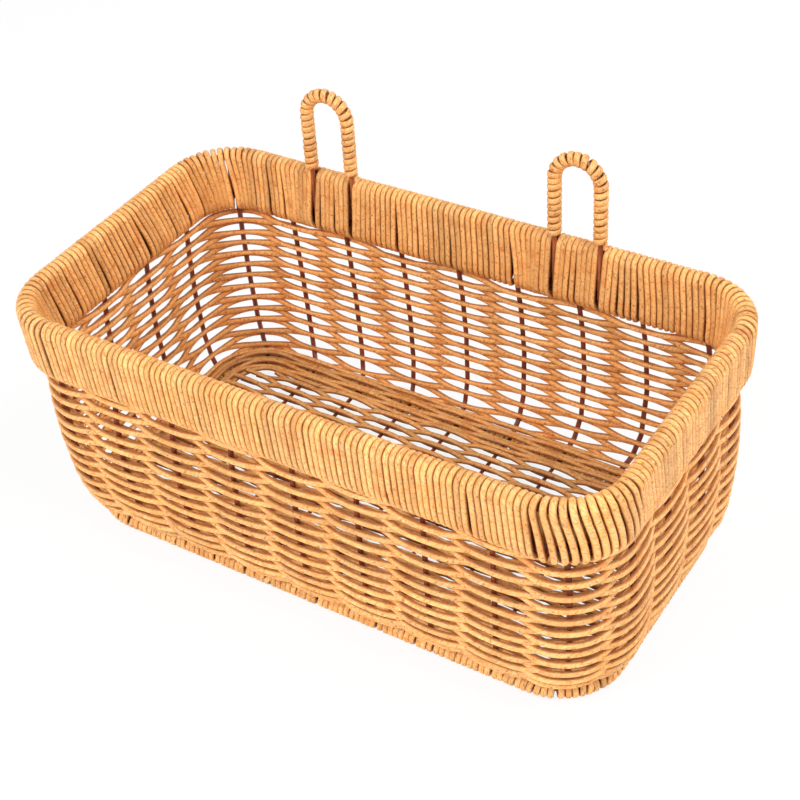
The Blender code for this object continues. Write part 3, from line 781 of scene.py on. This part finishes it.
def add_cover_rows(floor):
    """Rows that carry on the wall's weave over the base winding, round the floor's edge."""
    first_start = 50.0
    place = np.arange(STAKE_COUNT * WALL_POINTS_PER_STAKE) / WALL_POINTS_PER_STAKE
    for row, (inset, height, half_wave) in enumerate(COVER_ROWS):
        wave = -half_wave * woven(place + row)
        around = BASE_CORNER_RADIUS + BASE_INSET - inset
        points, normals = outline(inset, around, STAKE_SHARES[0] + place / STAKE_COUNT)
        sway = wander(STAKE_COUNT, 0.15 * MM, COVER_SWAY_SEED + row)
        line = points + normals * spread(sway, place)[:, None]
        line[:, 2] = height + wave
        up = np.tile([0.0, 0.0, 1.0], (len(place), 1))
        # The floor's painted shade darkens these rows too
        tone = spread(wander(STAKE_COUNT, 0.8, COVER_TONE_SEED + row, 0.5), place) + FLOOR_PAINTED_SHADE
        floor.add(line, up, True, tone, start=first_start + row)


def build_floor_weave(material):
    """The floor's rows and the rows round its edge."""
    floor = Strands("floor_rows", 8, FLOOR_CORD)
    add_floor_rows(floor)
    add_cover_rows(floor)
    return floor.finish(material, "woven_cord", "floor_weave")


LOOP_UPWARD = np.array([0.0, LOOP_BACKWARD_LEAN, math.sqrt(1 - LOOP_BACKWARD_LEAN ** 2)])
LOOP_SIDEWAYS = np.array([1.0, 0.0, 0.0])
LOOP_LEG = LOOP_SPRING - LOOP_CREST - 2.4 * MM
LOOP_ARCH = math.pi * LOOP_HALF_WIDTH


def loop_wire_line(middle, distance):
    """Centres along a loop's wire, up a leg, over the arch and down, and the direction to its outside."""
    foot = np.array([middle, LOOP_FOOT_Y, RIM_HEIGHT - BAND_DEPTH])
    angle = math.pi * (1 - np.clip((distance - LOOP_LEG) / LOOP_ARCH, 0.0, 1.0))
    side = np.cos(angle)[:, None] * LOOP_SIDEWAYS + np.sin(angle)[:, None] * LOOP_UPWARD
    below = np.minimum(distance - LOOP_LEG, 0.0) + np.minimum(LOOP_LEG + LOOP_ARCH - distance, 0.0)
    centre = foot + LOOP_UPWARD * (LOOP_SPRING + below)[:, None] + side * LOOP_HALF_WIDTH
    return centre, side


def build_loop_winding(name, middle, material, seed):
    """The cord wound up one leg of a loop, over its arch and down the other leg."""
    turns, per_turn = 28, 18
    through = np.cross(LOOP_UPWARD, LOOP_SIDEWAYS)
    whole = 2 * LOOP_LEG + LOOP_ARCH
    steps = turns * per_turn
    index = np.arange(steps + 1)
    turn = np.minimum(index // per_turn, turns)
    within = index / per_turn - turn
    jitter = wander(turns + 2, 0.20 * MM, seed)
    distance = whole * index / steps + jitter[turn] * (1 - within) + jitter[turn + 1] * within
    centre, side = loop_wire_line(middle, np.clip(distance, 0.0, whole))
    radius = LOOP_WINDING_RADIUS + wander(turns + 2, 0.05 * MM, seed + 1)[turn]
    turned = -2 * math.pi * index / per_turn
    away = side * np.cos(turned)[:, None] + through * np.sin(turned)[:, None]
    line = centre + away * radius[:, None]
    tail = LOOP_UPWARD * 1.6 * MM
    line = np.concatenate([[line[0] - tail], line, [line[-1] - tail]])
    away = np.concatenate([away[:1], away, away[-1:]])
    tones = wander(turns + 2, 1.0, seed + 2)
    tone = tones[turn] * (1 - within) + tones[turn + 1] * within
    tone = np.concatenate([tone[:1], tone, tone[-1:]])
    winding = Strands(name + "_turns", 10, LOOP_CORD)
    winding.add(line, away, False, tone, start=float(seed))
    return winding.finish(material, "woven_cord", name + "_winding")


def dress_wires(frame_paint, loop_paint):
    """Gives the frame's wires, which stay as they are, their paint."""
    for name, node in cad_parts.items():
        if "_wire" in name or name.startswith(("stake_", "floor_rib_")):
            material = loop_paint if "loop" in name else frame_paint
            if node.material_slots:
                for slot in node.material_slots:
                    slot.material = material
            else:
                node.data.materials.append(material)


def build_floor():
    """A pale floor that shows white to the camera and keeps the basket's shadow."""
    plane = bpy.data.meshes.new("studio_floor")
    reach = 12.0
    plane.from_pydata([(-reach, -reach, 0), (reach, -reach, 0), (reach, reach, 0), (-reach, reach, 0)], [],
                      [(0, 1, 2, 3)])
    ground = bpy.data.objects.new("studio_floor", plane)
    bpy.context.scene.collection.objects.link(ground)
    nodes = Nodes("studio_floor")
    nodes.shader.inputs["Base Color"].default_value = (0.92, 0.92, 0.92, 1.0)
    nodes.shader.inputs["Roughness"].default_value = 0.9
    path = nodes.add("ShaderNodeLightPath")
    seen = nodes.maths("MAXIMUM", path.outputs["Is Glossy Ray"], path.outputs["Is Transmission Ray"])
    seen = nodes.maths("MAXIMUM", path.outputs["Is Camera Ray"], seen)
    glow_share = 0.88
    glow = nodes.add("ShaderNodeEmission", {"Color": (1.0, 1.0, 1.0, 1.0), "Strength": 1.0})
    mixed = nodes.add("ShaderNodeMixShader", {0: nodes.maths("MULTIPLY", seen, glow_share),
                                              1: nodes.shader.outputs[0], 2: glow.outputs[0]})
    nodes.put(nodes.tree.nodes["Material Output"].inputs["Surface"], mixed.outputs[0])
    plane.materials.append(nodes.material)


def build_world():
    """Plain surroundings: white to the camera and in reflections, softer as a light."""
    world = bpy.data.worlds.new("studio")
    bpy.context.scene.world = world
    world.use_nodes = True
    tree = world.node_tree
    background = tree.nodes["Background"]
    background.inputs["Color"].default_value = (1.0, 1.0, 1.0, 1.0)
    path = tree.nodes.new("ShaderNodeLightPath")
    seen = path.outputs["Is Camera Ray"]
    for ray in ("Is Glossy Ray", "Is Transmission Ray"):
        larger = tree.nodes.new("ShaderNodeMath")
        larger.operation = "MAXIMUM"
        tree.links.new(seen, larger.inputs[0])
        tree.links.new(path.outputs[ray], larger.inputs[1])
        seen = larger.outputs[0]
    strength = tree.nodes.new("ShaderNodeMapRange")
    strength.inputs["To Min"].default_value = 0.50
    strength.inputs["To Max"].default_value = 1.0
    tree.links.new(seen, strength.inputs["Value"])
    tree.links.new(strength.outputs[0], background.inputs["Strength"])


LAMP_TARGET = (0.0, 0.0, 0.07)
# Name, place, size and power of each lamp
LAMPS = (
    ("key_lamp", (-0.40, -1.05, 1.25), 0.75, 13.0),
    ("fill_lamp", (0.95, -0.10, 1.30), 0.90, 11.0),
    ("back_lamp", (0.60, 1.00, 1.10), 0.80, 6.5),
    ("low_lamp", (0.35, -1.35, 0.25), 0.60, 5.0),
)


def build_lamps():
    """Soft lamps that face the basket."""
    for name, place, size, power in LAMPS:
        data = bpy.data.lights.new(name, "AREA")
        data.shape = "DISK"
        data.size = size
        data.energy = power
        lamp = bpy.data.objects.new(name, data)
        lamp.location = place
        toward = Vector(LAMP_TARGET) - Vector(place)
        lamp.rotation_euler = toward.to_track_quat("-Z", "Y").to_euler()
        bpy.context.scene.collection.objects.link(lamp)


CAMERA_AZIMUTH = 35.935
CAMERA_ELEVATION = 39.389
CAMERA_ROLL = -5.865
CAMERA_DISTANCE = 0.8870
CAMERA_TARGET = (-0.022333, 0.043382, 0.035118)
FOCAL_PIXELS = 1681.106
PICTURE_PIXELS = 800
SENSOR_WIDTH = 36.0


def place_camera():
    """The photograph's camera."""
    azimuth, elevation = math.radians(CAMERA_AZIMUTH), math.radians(CAMERA_ELEVATION)
    roll = math.radians(CAMERA_ROLL)
    back = Vector((math.sin(azimuth) * math.cos(elevation), -math.cos(azimuth) * math.cos(elevation),
                   math.sin(elevation)))
    right = (-back).cross(Vector((0, 0, 1))).normalized()
    up = right.cross(-back)
    turned_right = right * math.cos(roll) + up * math.sin(roll)
    turned_up = up * math.cos(roll) - right * math.sin(roll)
    data = bpy.data.cameras.new("photo_camera")
    data.sensor_width = SENSOR_WIDTH
    data.lens = FOCAL_PIXELS / PICTURE_PIXELS * SENSOR_WIDTH
    camera = bpy.data.objects.new("photo_camera", data)
    turn = Matrix((turned_right, turned_up, back)).transposed().to_4x4()
    camera.matrix_world = Matrix.Translation(Vector(CAMERA_TARGET) + back * CAMERA_DISTANCE) @ turn
    bpy.context.scene.collection.objects.link(camera)
    bpy.context.scene.camera = camera


def main():
    """Builds the strands, gives every piece its finish and sets up the picture."""
    # The last two numbers set where the painted shade on the cord's sides starts and how dark it gets
    band_cord = cord_material("band_cord", 0.72, 0.60)
    weave_cord = cord_material("weave_cord", 0.66, 0.60)
    frame_paint = wire_material("brown_wire_paint", *FRAME_PAINT)
    loop_paint = wire_material("light_wire_paint", *LOOP_PAINT)
    dress_wires(frame_paint, loop_paint)
    build_rim_winding(band_cord)
    build_wall_weave(weave_cord)
    build_base_winding(band_cord)
    build_floor_weave(weave_cord)
    build_loop_winding("left_hanging_loop", LOOP_MIDDLES[0], band_cord, LEFT_LOOP_SEED)
    build_loop_winding("right_hanging_loop", LOOP_MIDDLES[1], band_cord, RIGHT_LOOP_SEED)
    build_floor()
    build_world()
    build_lamps()
    place_camera()
    bpy.context.scene.view_settings.view_transform = "Standard"


main()
